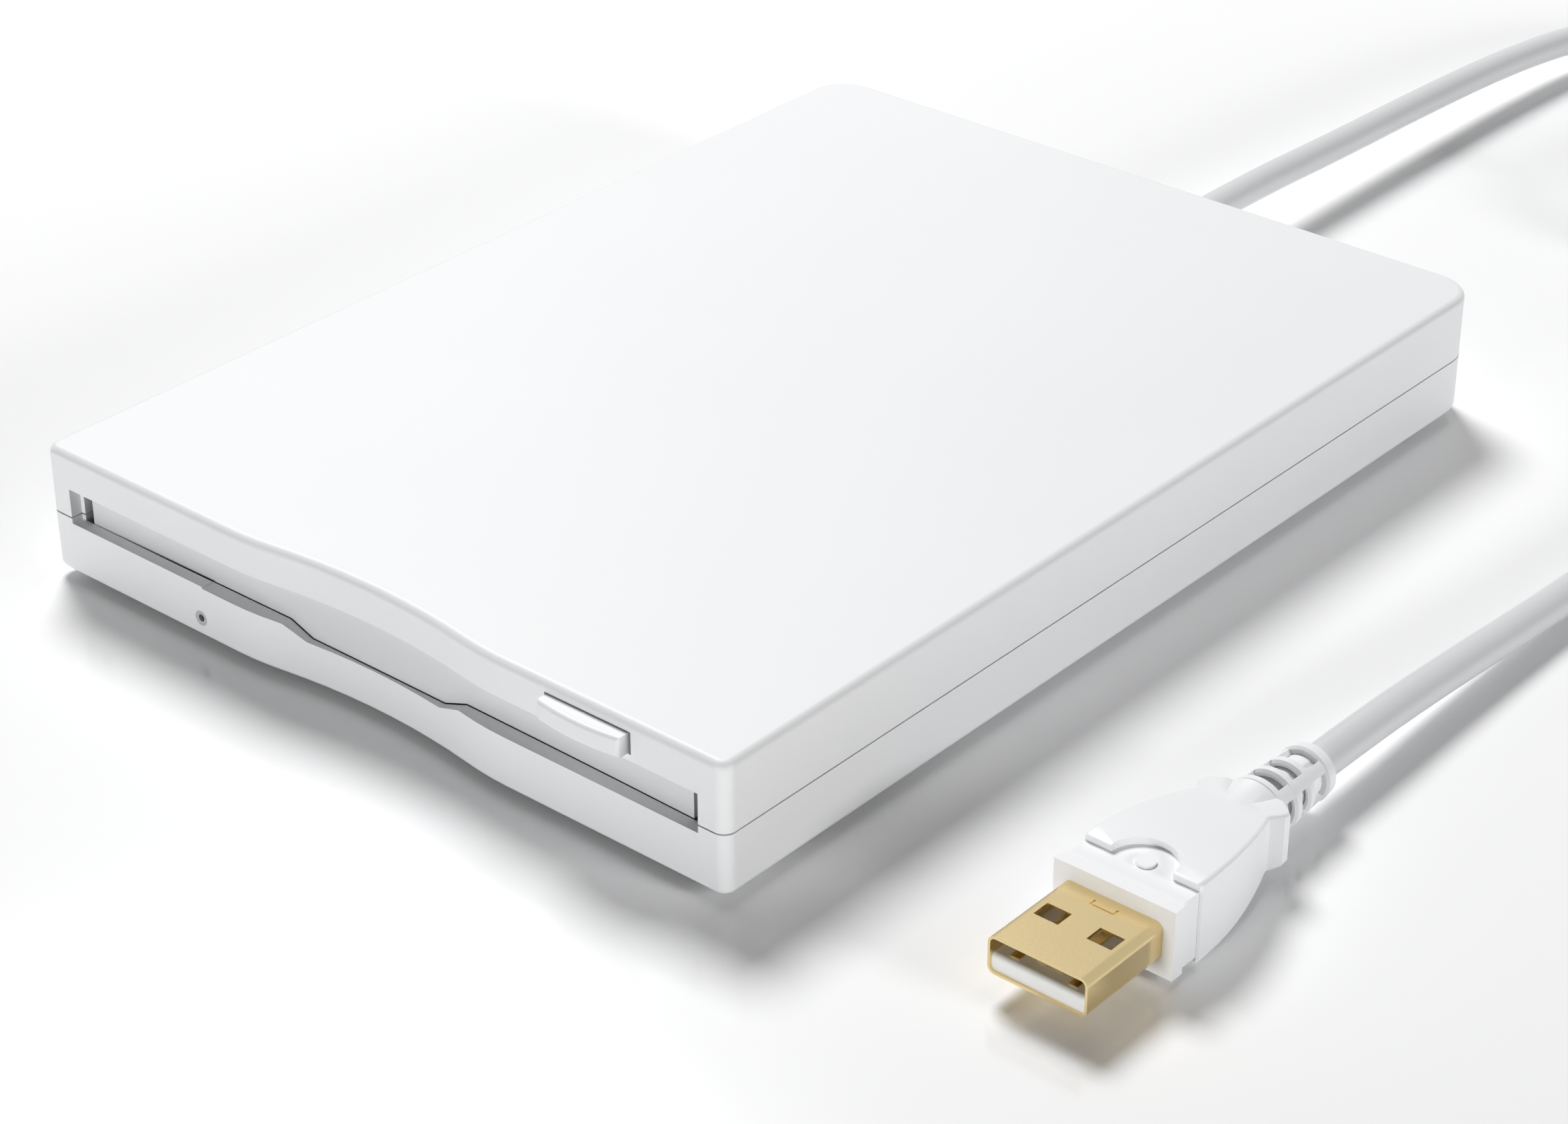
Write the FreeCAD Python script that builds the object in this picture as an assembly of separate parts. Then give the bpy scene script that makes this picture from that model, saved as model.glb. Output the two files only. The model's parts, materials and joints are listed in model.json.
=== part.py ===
"""External floppy disk drive: case, disk holder, eject gear, head gear, board, cord and plug. Millimetres.

The model is drawn from the middle of the case's front face, X to the right, Y to the back and Z up from the
table, and each piece is moved back by half the depth when it is saved.
"""
import math
import os

import FreeCAD
import Part

V = FreeCAD.Vector

# Case
disk_half_width = 45.15
case_side_room = 6.85
slot_side_room = 3.15
flap_side_gap = 1.95
holder_to_flange = 0.8
case_depth = 142.5
foot_height = 1.0
case_height = 16.1
seam_height = 7.63
seam_gap = 0.2
side_wall = 1.8
rear_wall = 2.0
floor_wall = 1.2
top_wall = 1.2
front_wall = 3.0
front_corner = 1.5
rear_corner = 5.5
top_round = 0.9
bottom_round = 1.0
wave_depth = 1.65
wave_half_width = 21.0
wave_blend_radius = 41.0
foot_radius = 4.8
foot_inset = 12.0
boss_radius = 1.8
boss_inset = 1.9
boss_split = 12.0
boss_front = 16.5
boss_from_back = 11.0
rib_places = (108.0, 124.0)
vent_width = 2.4
vent_pitch = 6.0
vent_length = 14.0
vent_from_back = 20.5
vent_left = -30.0
bolt_radius = 0.8
bolt_head_radius = 1.5

# Slot and flap
slot_step = 0.6
slot_bottom = 7.65
slot_top = 12.4
dip_drop = 1.25
dip_half_width = 10.3
dip_ramp = 3.4
raised_lip_end = -26.1
raised_lip_height = 0.25
flap_setback = 1.62
flap_bow = 0.5
flap_thickness = 0.9
flap_gap = 0.1
flap_pivot_y = 4.0
flap_pivot_z = 13.9
flap_barrel_radius = 1.1
flap_barrel_length = 3.2
flap_pin_radius = 0.6
running_clearance = 0.05

# Eject button
button_middle = 33.3
button_width = 11.4
button_height = 2.44
button_bottom = 13.33
button_stand_out = 2.08
button_crown = 0.52
button_travel = 3.5
button_clearance = 0.3
button_back = 6.0

# Lamp
lamp_x = -26.7
lamp_z = 3.6
lamp_radius = 0.95
lamp_core_radius = 0.45

# Chassis and disk bay
sheet = 0.45
holder_front = 12.5
holder_back = 97.5
holder_inner_height = 4.4
holder_sheet = 0.6
holder_floor = 6.6
holder_lift = 1.2
holder_lip = 6.0
chassis_lift = 0.5
chassis_sheet = 0.8
chassis_front = 22.0
chassis_from_back = 8.5
plate_step_y = 102.0
chassis_flange_height = 11.3
chassis_flange_sheet = 0.7
lift_pin_radius = 0.6
lift_pin_places = (34.0, 84.0)
slider_plate_bottom = 13.6
slider_sheet = 0.6
slider_flange = 0.5
slider_side_gap = 0.15
slider_strip = 8.0
slider_front = 14.0
slider_back = 98.0
eject_spring_y = 60.0
eject_spring_x = 3.75

# Spindle
spindle_y = 52.0
rotor_radius = 20.0
shaft_radius = 1.2

# Head gear
screw_x = -14.0
rod_x = 16.0
gear_z = 9.0
screw_radius = 1.0
rod_radius = 1.0
carriage_front = 100.0
carriage_length = 6.0
carriage_travel = 15.0
arm_half_width = 5.0
arm_tip = 74.5
motor_radius = 5.5
motor_length = 14.0
bracket_sheet = 0.8

# Lever that opens the disk's shutter, and the board
lever_x, lever_y, lever_z = -34.0, 101.0, 8.8
lever_post_radius = 1.2
lever_length = 13.0
lever_rest_turn = 25.0
board_z = 4.5
board_sheet = 1.0
flex_sheet = 0.2
board_left, board_right, board_front, board_back = 23.0, 44.5, 103.0, 133.0
spring_radius = 0.55
spring_wire = 0.2
sensor_y = 94.0
plunger_radius = 0.7
arm_pin_z = 13.4

# Cord and plug
cord_radius = 2.1
cord_exit_x = 2.6
cord_exit_z = 8.2
relief_radius = 4.0
relief_length = 9.5
plug_x = 86.5
plug_z = 4.85
plug_mouth_y = 6.0
usb_width = 12.0
usb_height = 4.5
usb_length = 12.3
usb_corner = 0.9
usb_sheet = 0.3
plug_relief_end = 53.7
plug_relief_root = 3.85
scoop_radius = 3.75

# Places worked out from the sizes above
case_width = 2 * (disk_half_width + case_side_room)
slot_half_width = disk_half_width + slot_side_room
flap_half_width = slot_half_width - flap_side_gap
chassis_flange_inner = disk_half_width + sheet + holder_to_flange
chassis_back = case_depth - chassis_from_back
boss_rear = case_depth - boss_from_back
header_front = case_depth - 18.5
header_back = header_front + 4.0
pin_reach = slot_half_width + 0.7
plate_rear_half = chassis_flange_inner - 1.4
chassis_bolt_x = chassis_flange_inner - 4.4
case_bottom = foot_height
case_top = foot_height + case_height
seam_z = foot_height + seam_height
floor_z = case_bottom + floor_wall
ceiling_z = case_top - top_wall
inner_half_width = case_width / 2 - side_wall
inner_back = case_depth - rear_wall
origin_shift = -(case_depth - button_stand_out) / 2
chassis_z = floor_z + chassis_lift
deck_z = chassis_z + chassis_sheet
holder_top = holder_floor + 2 * holder_sheet + holder_inner_height
holder_half_width = disk_half_width + sheet
slider_inner = holder_half_width + slider_side_gap
pin_z = holder_floor + holder_sheet + holder_inner_height / 2
carriage_back = carriage_front + carriage_length
arm_pin_y = carriage_front + 4.0
spring_z = slider_plate_bottom + slider_sheet + spring_radius + spring_wire
rear_bracket_y = carriage_back + carriage_travel + 1.0
bolt_places = [(side * (inner_half_width - boss_inset), y) for side in (-1, 1) for y in (boss_front, boss_rear)]


def block(x0, x1, y0, y1, z0, z1):
    return Part.makeBox(x1 - x0, y1 - y0, z1 - z0, V(x0, y0, z0))


def rod_along_x(y, z, radius, x0, x1):
    return Part.makeCylinder(radius, x1 - x0, V(x0, y, z), V(1, 0, 0))


def rod_along_y(x, z, radius, y0, y1):
    return Part.makeCylinder(radius, y1 - y0, V(x, y0, z), V(0, 1, 0))


def rod_along_z(x, y, radius, z0, z1):
    return Part.makeCylinder(radius, z1 - z0, V(x, y, z0), V(0, 0, 1))


def tube_along_z(x, y, outer, inner, z0, z1):
    return rod_along_z(x, y, outer, z0, z1).cut(rod_along_z(x, y, inner, z0, z1))


def joined(pieces):
    solid = pieces[0]
    if len(pieces) > 1:
        solid = solid.fuse(pieces[1:]).removeSplitter()
    return solid


def without(solid, tools):
    return solid.cut(tools) if tools else solid


def prism(points, low, high, axis="z"):
    """A straight-sided solid: points on a plane across the axis, from low to high along it."""
    place = {"x": lambda a, b: V(low, a, b), "y": lambda a, b: V(a, low, b), "z": lambda a, b: V(a, b, low)}[axis]
    corners = [place(a, b) for a, b in points]
    way = {"x": V(1, 0, 0), "y": V(0, 1, 0), "z": V(0, 0, 1)}[axis] * (high - low)
    return Part.Face(Part.makePolygon(corners + corners[:1])).extrude(way)


def rounded(solid, radius, wanted):
    """Round the edges that the test picks out."""
    edges = [edge for edge in solid.Edges if wanted(edge)]
    return solid.makeFillet(radius, edges) if edges else solid


def upright(edge):
    low, high = edge.BoundBox.ZMin, edge.BoundBox.ZMax
    return high - low > 0.1 and edge.BoundBox.XLength < 1e-6 and edge.BoundBox.YLength < 1e-6


def saved(name, shape):
    shape = shape.copy()
    shape.translate(V(0, origin_shift, 0))
    solids = shape.Solids
    if not solids or not shape.isValid():
        raise ValueError(f"{name} is not a sound solid")
    result = solids[0] if len(solids) == 1 else Part.makeCompound(solids)
    result.exportStep(f"parts/{name}.step")
    print(f"{name}: {len(solids)} solid(s), {sum(s.Volume for s in solids):.2f} mm3")


def arc(start, middle, end):
    return Part.Arc(start, middle, end).toShape()


def wave_arcs(z):
    """The shallow hollow in the front: a wide arc between two arcs that run out into the flat ends."""
    total = (wave_half_width ** 2 + wave_depth ** 2) / (2 * wave_depth)
    hollow = total - wave_blend_radius
    turn = math.asin(wave_half_width / total)
    join = V(hollow * math.sin(turn), wave_depth - hollow * (1 - math.cos(turn)), z)
    half = V(wave_half_width - wave_blend_radius * math.sin(turn / 2),
             wave_blend_radius * (1 - math.cos(turn / 2)), z)
    end = V(wave_half_width, 0, z)
    flip = lambda p: V(-p.x, p.y, p.z)
    return [arc(flip(end), flip(half), flip(join)), arc(flip(join), V(0, wave_depth, z), join),
            arc(join, half, end)]


def case_outline(z):
    """The case seen from above, as a closed wire."""
    side, back = case_width / 2, case_depth
    slant = math.sqrt(0.5)
    front, rear = front_corner, rear_corner
    edges = wave_arcs(z)
    line = lambda a, b: Part.LineSegment(a, b).toShape()
    edges.append(line(V(wave_half_width, 0, z), V(side - front, 0, z)))
    edges.append(arc(V(side - front, 0, z), V(side - front + front * slant, front - front * slant, z),
                     V(side, front, z)))
    edges.append(line(V(side, front, z), V(side, back - rear, z)))
    edges.append(arc(V(side, back - rear, z), V(side - rear + rear * slant, back - rear + rear * slant, z),
                     V(side - rear, back, z)))
    edges.append(line(V(side - rear, back, z), V(rear - side, back, z)))
    edges.append(arc(V(rear - side, back, z), V(rear - side - rear * slant, back - rear + rear * slant, z),
                     V(-side, back - rear, z)))
    edges.append(line(V(-side, back - rear, z), V(-side, front, z)))
    edges.append(arc(V(-side, front, z), V(front - side - front * slant, front - front * slant, z),
                     V(front - side, 0, z)))
    edges.append(line(V(front - side, 0, z), V(-wave_half_width, 0, z)))
    return Part.Wire(Part.__sortEdges__(edges))


def case_body(low, high):
    return Part.Face(case_outline(low)).extrude(V(0, 0, high - low))


def case_cavity(low, high):
    hollow = block(-inner_half_width, inner_half_width, front_wall, inner_back, low, high)
    rear = rear_corner - side_wall
    return rounded(hollow, rear, lambda e: upright(e) and e.BoundBox.YMin > case_depth / 2)


def bowed_band(front_y, depth, half_width, low, high):
    """A plate whose front is set back at its middle by the flap's bow."""
    left, right = V(-half_width, front_y, low), V(half_width, front_y, low)
    back_y = front_y + depth
    edges = [arc(left, V(0, front_y + flap_bow, low), right),
             Part.LineSegment(right, V(half_width, back_y, low)).toShape(),
             arc(V(half_width, back_y, low), V(0, back_y + flap_bow, low), V(-half_width, back_y, low)),
             Part.LineSegment(V(-half_width, back_y, low), left).toShape()]
    return Part.Face(Part.Wire(edges)).extrude(V(0, 0, high - low))


def slot_profile(gap, top):
    """The slot's outline seen from the front, grown by a gap all round, with the dip in its lower edge."""
    half = slot_half_width + gap
    low = slot_bottom - gap
    dip = low - dip_drop
    outer = dip_half_width + dip_ramp + gap
    return [(-half, low), (-outer, low), (-dip_half_width - gap, dip), (dip_half_width + gap, dip),
            (outer, low), (half, low), (half, top), (-half, top)]


def slot_cut():
    """Everything that the slot, the flap's swing and its pocket take out of the two shells."""
    mouth = prism(slot_profile(0, slot_top), -button_stand_out, flap_setback + flap_bow, "y")
    inner = slot_half_width - slot_step
    shoulders = [block(*sorted((side * inner, side * (slot_half_width + 1))), flap_setback - flap_gap, front_wall,
                       case_bottom, case_top) for side in (-1, 1)]
    mouth = mouth.cut(shoulders)
    swing = bowed_band(flap_setback - flap_gap, front_wall, inner, case_bottom + 4.8, slot_top)
    pocket = block(-inner, inner, flap_setback + flap_bow + flap_thickness - 0.3, front_wall + 0.1,
                   slot_top - 0.1, ceiling_z)
    return [mouth, swing, pocket]


def top_shell():
    body = case_body(seam_z + seam_gap / 2, case_top)
    body = rounded(body, top_round, lambda e: e.BoundBox.ZMin > case_top - 1e-4)
    body = body.cut(case_cavity(seam_z - 1, ceiling_z))
    bosses = [rod_along_z(x, y, boss_radius, boss_split, ceiling_z + 0.3) for x, y in bolt_places]
    bearing_x = slot_half_width + 0.3
    bearings = [block(side * bearing_x - 1.7, side * bearing_x + 1.7, flap_pivot_y - 1.2, flap_pivot_y + 1.6,
                      flap_pivot_z - 1.2, ceiling_z + 0.3) for side in (-1, 1)]
    rib_half = inner_half_width - 4.2
    ribs = [block(-rib_half, rib_half, y, y + 1.0, ceiling_z - 0.8, ceiling_z + 0.3) for y in rib_places]
    body = body.fuse(bosses + bearings + ribs).removeSplitter()
    hole = block(button_middle - button_width / 2 - button_clearance,
                 button_middle + button_width / 2 + button_clearance, -button_stand_out, front_wall + 0.1,
                 button_bottom - 0.15, button_bottom + button_height + 0.13)
    pins = [rod_along_x(flap_pivot_y, flap_pivot_z, flap_pin_radius, -pin_reach, pin_reach)]
    bolts = [rod_along_z(x, y, bolt_radius, boss_split - 1, ceiling_z - 0.4) for x, y in bolt_places]
    lip_room = [block(side * (inner_half_width + 0.4) - 0.45, side * (inner_half_width + 0.4) + 0.45, 20.0,
                      case_depth - rear_corner - 2.0, seam_z - 1, seam_z + 1.5) for side in (-1, 1)]
    return without(body, slot_cut() + [hole] + pins + bolts + lip_room + [rear_notch()])


def rear_notch():
    """The round hole in the rear wall, half in each shell, that grips the neck of the cord's relief."""
    return rod_along_y(cord_exit_x, cord_exit_z, relief_radius - 1.0, inner_back - 1, case_depth + 1)


def bottom_shell():
    body = case_body(case_bottom, seam_z - seam_gap / 2)
    body = rounded(body, bottom_round, lambda e: e.BoundBox.ZMax < case_bottom + 1e-4)
    body = body.cut(case_cavity(floor_z, case_top))
    bosses = [rod_along_z(x, y, boss_radius, floor_z - 0.3, boss_split) for x, y in bolt_places]
    lips = [block(side * (inner_half_width + 0.4) - 0.4, side * (inner_half_width + 0.4) + 0.4, 20.5,
                  case_depth - rear_corner - 2.5, seam_z - 1.5, seam_z + 1.4) for side in (-1, 1)]
    lift = [rod_along_z(x, y, 2.6, floor_z - 0.3, chassis_z) for x, y in chassis_bolt_places()]
    lip = block(-slot_half_width, raised_lip_end, 0.0, flap_setback - flap_gap, slot_bottom - 1,
                slot_bottom + raised_lip_height)
    body = body.fuse(bosses + lips + lift).removeSplitter()
    lamp = rod_along_y(lamp_x, lamp_z, lamp_radius, -1, front_wall + 1)
    bolts = [rod_along_z(x, y, bolt_radius + 0.2, 0, boss_split + 1) for x, y in bolt_places]
    heads = [rod_along_z(x, y, bolt_head_radius + 0.1, 0, case_bottom + 1.6) for x, y in bolt_places]
    pilots = [rod_along_z(x, y, 0.8, floor_z - 0.6, chassis_z + 1) for x, y in chassis_bolt_places()]
    body = without(body, slot_cut() + [lamp] + bolts + heads + pilots + floor_vents() + [rear_notch()])
    return body.fuse(lip.cut(case_cavity(case_bottom, case_top))).removeSplitter()


def floor_vents():
    back = case_depth - vent_from_back
    return [block(x, x + vent_width, back - vent_length, back, 0, floor_z + 0.1)
            for x in (vent_left, vent_left + vent_pitch, vent_left + 2 * vent_pitch)]


def chassis_bolt_places():
    return [(side * chassis_bolt_x, y) for side in (-1, 1) for y in (chassis_front + 4.0, chassis_back - 4.0)]


def feet():
    inset_x, inset_y = case_width / 2 - foot_inset, foot_inset + 2.5
    names = ("front_left", "front_right", "rear_left", "rear_right")
    spots = ((-inset_x, inset_y), (inset_x, inset_y), (-inset_x, case_depth - inset_y),
             (inset_x, case_depth - inset_y))
    for name, (x, y) in zip(names, spots):
        pad = rod_along_z(x, y, foot_radius, 0, foot_height)
        pad = rounded(pad, 0.25, lambda e: e.BoundBox.ZMax < 1e-4)
        yield f"foot_{name}", pad


def bolt(x, y, z0, z1, radius, head_radius, head_height):
    """A screw that points up, its head at the bottom with a cross recess."""
    head = rod_along_z(x, y, head_radius, z0, z0 + head_height)
    body = rod_along_z(x, y, radius, z0 + head_height, z1).fuse(head)
    cross = [block(x - 1.0, x + 1.0, y - 0.18, y + 0.18, z0 - 1, z0 + 0.4),
             block(x - 0.18, x + 0.18, y - 1.0, y + 1.0, z0 - 1, z0 + 0.4)]
    return body.removeSplitter().cut(cross)


def screw_down(x, y, seat, depth, radius, head_radius, head_height):
    """A screw that points down, with its head above the seat."""
    top = seat + head_height
    body = rod_along_z(x, y, radius, seat - depth, seat).fuse(rod_along_z(x, y, head_radius, seat, top))
    cross = [block(x - 0.9, x + 0.9, y - 0.15, y + 0.15, top - 0.3, top + 1),
             block(x - 0.15, x + 0.15, y - 0.9, y + 0.9, top - 0.3, top + 1)]
    return body.removeSplitter().cut(cross)


def case_screws():
    return Part.makeCompound([bolt(x, y, case_bottom + 0.2, ceiling_z - 0.6, bolt_radius, bolt_head_radius, 1.4)
                              for x, y in bolt_places])


def slot_flap():
    top = slot_top - flap_gap
    band = bowed_band(flap_setback, flap_thickness, flap_half_width, slot_bottom - dip_drop, top)
    plate = band.common(prism(slot_profile(-flap_gap, top), 0, front_wall + 2, "y"))
    outer = flap_half_width - 0.15
    pieces = [plate]
    for side in (-1, 1):
        x0, x1 = sorted((side * outer, side * (outer - flap_barrel_length)))
        pieces.append(rod_along_x(flap_pivot_y, flap_pivot_z, flap_barrel_radius, x0, x1))
        arm = [(2.3, 11.2), (2.3, 12.2), (2.9, 12.2), (2.95, 13.4), (flap_pivot_y, flap_pivot_z), (4.7, 13.2),
               (3.0, 11.2)]
        pieces.append(prism(arm, x0, x1, "x"))
    bore = rod_along_x(flap_pivot_y, flap_pivot_z, flap_pin_radius + running_clearance, -50, 50)
    return joined(pieces).cut(bore)


def flap_pins():
    inner = flap_half_width - flap_barrel_length - 1.95
    spans = [sorted((side * inner, side * pin_reach)) for side in (-1, 1)]
    return Part.makeCompound([rod_along_x(flap_pivot_y, flap_pivot_z, flap_pin_radius, *span) for span in spans])


def flap_spring():
    wire = 0.2
    ring = flap_pin_radius + 0.15 + wire
    start = flap_half_width - flap_barrel_length - 1.7
    turns = [Part.makeTorus(ring, wire, V(start + 0.38 * i, flap_pivot_y, flap_pivot_z), V(1, 0, 0)) for i in range(4)]
    leg = rod_along_z(start, flap_pivot_y + ring, wire, flap_pivot_z, ceiling_z)
    return turns[0].fuse(turns[1:] + [leg])


def eject_button():
    left, right = button_middle - button_width / 2, button_middle + button_width / 2
    low, ends = button_bottom, button_crown - button_stand_out
    line = lambda a, b: Part.LineSegment(V(a[0], a[1], low), V(b[0], b[1], low)).toShape()
    front = arc(V(left, ends, low), V(button_middle, -button_stand_out, low), V(right, ends, low))
    outline = Part.Wire([front, line((right, ends), (right, button_back)),
                         line((right, button_back), (left, button_back)), line((left, button_back), (left, ends))])
    solid = Part.Face(outline).extrude(V(0, 0, button_height))
    return rounded(solid, 0.45, lambda e: e.BoundBox.YMax < ends + 1e-3)


def lamp():
    """The lens ring in the front wall, and the lamp whose tip shows inside it."""
    ring = rod_along_y(lamp_x, lamp_z, lamp_radius, 0.05, front_wall)
    ring = ring.cut(rod_along_y(lamp_x, lamp_z, lamp_core_radius, -1, front_wall + 1))
    tip = rod_along_y(lamp_x, lamp_z, lamp_core_radius, 0.5, front_wall)
    base = block(lamp_x - 1.4, lamp_x + 1.4, front_wall, front_wall + 3.2, floor_z, lamp_z + 1.3)
    return ring, joined([tip, base])


def head_brackets():
    """Two pairs of upright plates that carry the lead screw and the guide rod."""
    plates = []
    for y, high in ((carriage_front - 0.7 - bracket_sheet, gear_z + 2.0), (rear_bracket_y, gear_z + 6.0)):
        for x, radius in ((screw_x, screw_radius + running_clearance), (rod_x, rod_radius)):
            plate = block(x - 5.0, x + 5.0, y, y + bracket_sheet, deck_z - 0.2, high)
            plates.append(plate.cut(rod_along_y(x, gear_z, radius, y - 1, y + 2)))
    return plates


def chassis():
    half = chassis_flange_inner + chassis_flange_sheet
    plate = block(-half, half, chassis_front, plate_step_y, chassis_z, deck_z)
    plate = plate.fuse(block(-plate_rear_half, plate_rear_half, plate_step_y, chassis_back, chassis_z, deck_z))
    flanges = []
    for side in (-1, 1):
        x0, x1 = sorted((side * chassis_flange_inner, side * half))
        flange = block(x0, x1, chassis_front + 2, plate_step_y - 2, chassis_z, chassis_flange_height)
        gap = lift_pin_radius + 0.1
        slots = [block(x0 - 1, x1 + 1, y - gap, y + gap, pin_z - gap, chassis_flange_height + 1)
                 for y in lift_pin_places]
        flanges.append(flange.cut(slots))
    post = rod_along_z(lever_x, lever_y, lever_post_radius, deck_z - 0.2, lever_z + 1.2)
    stands = [rod_along_z(x, y, 1.4, deck_z - 0.2, board_z) for x, y in board_corners()]
    solid = joined([plate] + flanges + head_brackets() + [post] + stands)
    holes = [rod_along_z(x, y, 0.9, 0, deck_z + 1) for x, y in chassis_bolt_places()]
    lighten = [block(-33.0, -21.0, 74.0, 88.0, 0, deck_z + 1)]
    pilots = [rod_along_z(x, y, 0.6, deck_z + 0.2, board_z + 1) for x, y in board_corners()]
    return without(solid, holes + lighten + pilots)


def chassis_screws():
    return Part.makeCompound([screw_down(x, y, deck_z, 1.8, 0.8, 1.6, 0.7) for x, y in chassis_bolt_places()])


def disk_holder():
    inner_low, inner_top = holder_floor + holder_sheet, holder_top - holder_sheet
    outer = block(-holder_half_width, holder_half_width, holder_front, holder_back, holder_floor, holder_top)
    bay = block(-disk_half_width, disk_half_width, holder_front - 1, holder_back + 1, inner_low, inner_top)
    lip_inner = holder_half_width - holder_lip
    opening = block(-lip_inner, lip_inner, holder_front - 1, holder_back + 1, holder_floor - 1, inner_low + 1)
    window = block(-8.0, 8.0, 70.0, holder_back + 1, inner_top - 1, holder_top + 1)
    port = rod_along_z(0, spindle_y, 14.0, inner_top - 1, holder_top + 1)
    return outer.cut([bay, opening, window, port])


def holder_pins():
    reach = chassis_flange_inner + chassis_flange_sheet
    return Part.makeCompound([rod_along_x(y, pin_z, lift_pin_radius, *sorted((side * holder_half_width, side * reach)))
                              for side in (-1, 1) for y in lift_pin_places])


def cam_slot(y):
    """A sloping slot that lifts a pin as the slider moves back."""
    radius = lift_pin_radius + 0.08
    start = (y + 0.2, pin_z - 0.2 * holder_lift / button_travel)
    end = (y - button_travel - 0.2, pin_z + holder_lift * (1 + 0.2 / button_travel))
    length = math.hypot(end[0] - start[0], end[1] - start[1])
    across = ((end[1] - start[1]) / length * radius, (start[0] - end[0]) / length * radius)
    corners = [(start[0] + across[0], start[1] + across[1]), (end[0] + across[0], end[1] + across[1]),
               (end[0] - across[0], end[1] - across[1]), (start[0] - across[0], start[1] - across[1])]
    return [prism(corners, -60, 60, "x")] + [rod_along_x(a, b, radius, -60, 60) for a, b in (start, end)]


def eject_slider():
    outer = slider_inner + slider_flange
    low, high = slider_plate_bottom, slider_plate_bottom + slider_sheet
    strips = [block(*sorted((side * outer, side * (outer - slider_strip))), slider_front, slider_back, low, high)
              for side in (-1, 1)]
    bar = block(-outer, outer, slider_front, slider_front + 10.0, low, high)
    tab = block(button_middle - 3.3, button_middle + 3.3, button_back, slider_front + 1, low, high)
    ears = [block(*sorted((side * slider_inner, side * outer)), y - 6.0, y + 2.5, pin_z - 1.5, high)
            for side in (-1, 1) for y in lift_pin_places]
    cuts = [cut for y in lift_pin_places for cut in cam_slot(y)]
    return joined(strips + [bar, tab] + [ear.cut(cuts) for ear in ears])


def eject_springs():
    """Two coil springs beside the holder, from a chassis ear to the slider, drawn as close rings."""
    springs = []
    for side in (-1, 1):
        x, pitch = side * (slider_inner - eject_spring_x), 1.9 * spring_wire
        rings = [Part.makeTorus(spring_radius, spring_wire, V(x, eject_spring_y + pitch * i, spring_z), V(0, 1, 0))
                 for i in range(16)]
        springs.append(rings[0].fuse(rings[1:]))
    return Part.makeCompound(springs)


def board_corners():
    return [(x, y) for x in (board_left + 2, board_right - 2) for y in (board_front + 2, board_front + 22)]


def shutter_lever():
    hub = rod_along_z(0, 0, 2.2, lever_z, lever_z + 0.8)
    blade = block(0, lever_length, -1.4, 1.4, lever_z, lever_z + 0.8)
    tip = rod_along_z(lever_length, 0, 1.4, lever_z, lever_z + 0.8)
    solid = joined([hub, blade, tip]).cut(rod_along_z(0, 0, lever_post_radius + running_clearance, 0, 20))
    solid.rotate(V(0, 0, 0), V(0, 0, 1), -lever_rest_turn)
    solid.translate(V(lever_x, lever_y, 0))
    return solid


def lever_clip():
    top = lever_z + 0.95
    return tube_along_z(lever_x, lever_y, 2.0, lever_post_radius, top, top + 0.25)


def spindle():
    """Rotor, magnet ring, drive pin and shaft turn together over the bearing, coils and their board."""
    rotor = rod_along_z(0, spindle_y, rotor_radius, 5.6, 6.4).cut(rod_along_z(0, spindle_y, shaft_radius, 5, 6.4))
    rotor = joined([rotor, rod_along_z(0, spindle_y, 6.5, 6.4, 7.1)])
    yield "spindle_rotor", rotor
    yield "rotor_magnet", tube_along_z(0, spindle_y, rotor_radius - 0.5, rotor_radius - 3.5, 4.9, 5.6)
    yield "spindle_shaft", rod_along_z(0, spindle_y, shaft_radius, deck_z + 0.1, 6.4)
    yield "drive_pin", rod_along_z(9.0, spindle_y, 0.8, 6.4, 7.15)
    yield "spindle_bearing", tube_along_z(0, spindle_y, 3.0, shaft_radius + running_clearance, deck_z, 5.3)
    yield "stator_board", tube_along_z(0, spindle_y, 22.0, 3.0, deck_z, deck_z + 0.6)
    coils = []
    for i in range(9):
        coil = block(10.0, 15.0, -2.2, 2.2, deck_z + 0.6, 5.2)
        coil = coil.cut(block(11.6, 13.4, -0.8, 0.8, 0, 9))
        coil.rotate(V(0, 0, 0), V(0, 0, 1), 40.0 * i)
        coil.translate(V(0, spindle_y, 0))
        coils.append(coil)
    yield "stator_coils", Part.makeCompound(coils)


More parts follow.
